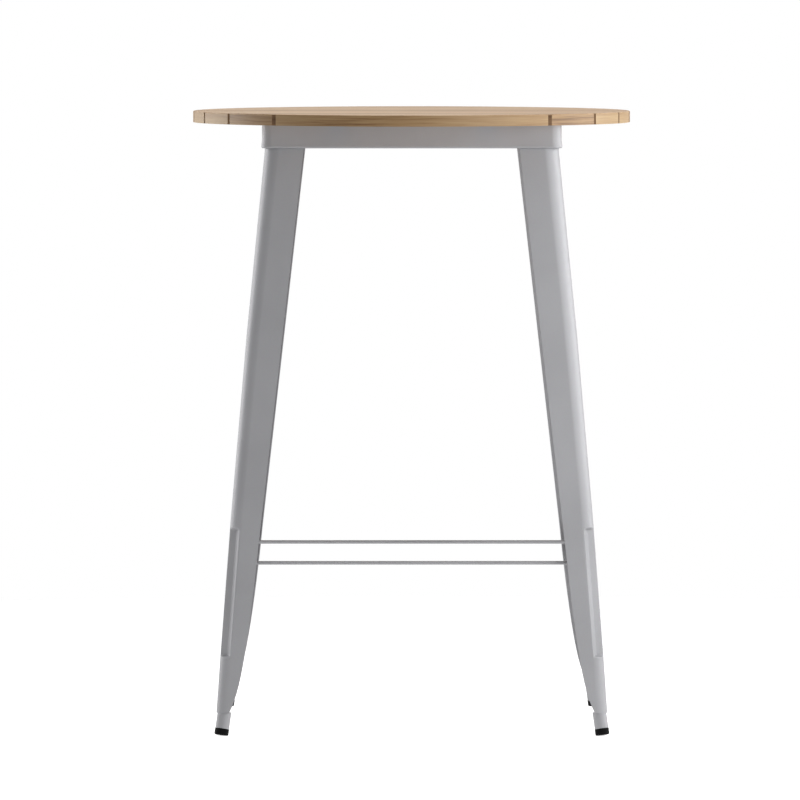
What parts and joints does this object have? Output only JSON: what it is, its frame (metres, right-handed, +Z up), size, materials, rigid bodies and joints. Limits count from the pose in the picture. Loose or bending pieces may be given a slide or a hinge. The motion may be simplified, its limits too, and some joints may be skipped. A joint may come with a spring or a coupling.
{
  "type": "bar table",
  "caption": "Tall round bar table: slatted wood-look top on a pressed sheet-steel base with splayed fluted legs, square apron and thin rod stretchers.",
  "frame": {"origin": "on the floor under the middle of the round top", "axes": "+Z up, +X to the right and along the boards, +Y to the rear"},
  "size_m": [0.762, 0.762, 1.067],
  "materials": {
    "slat": "light brown wood grain, sealed, satin",
    "coated_steel": "silver-grey powder coat, satin",
    "zinc_steel": "zinc plated",
    "foot_rubber": "matt black"
  },
  "bodies": {
    "root": {"slat_1": "slat", "slat_2": "slat", "slat_3": "slat", "slat_4": "slat", "slat_5": "slat", "slat_6": "slat", "slat_7": "slat", "slat_8": "slat", "slat_9": "slat", "strap_left": "coated_steel", "strap_right": "coated_steel", "slat_screws": "zinc_steel", "apron": "coated_steel", "bracket_front_left": "coated_steel", "bracket_front_right": "coated_steel", "bracket_rear_left": "coated_steel", "bracket_rear_right": "coated_steel", "leg_front_left": "coated_steel", "leg_front_right": "coated_steel", "leg_rear_left": "coated_steel", "leg_rear_right": "coated_steel", "leg_bolts": "zinc_steel", "foot_sockets": "coated_steel", "foot_caps": "foot_rubber", "gusset_front_left": "coated_steel", "gusset_front_right": "coated_steel", "gusset_rear_left": "coated_steel", "gusset_rear_right": "coated_steel", "rod_front": "coated_steel", "rod_rear": "coated_steel", "rod_left": "coated_steel", "rod_right": "coated_steel", "rod_bolts": "zinc_steel", "rod_nuts": "zinc_steel"}
  },
  "joints": []
}
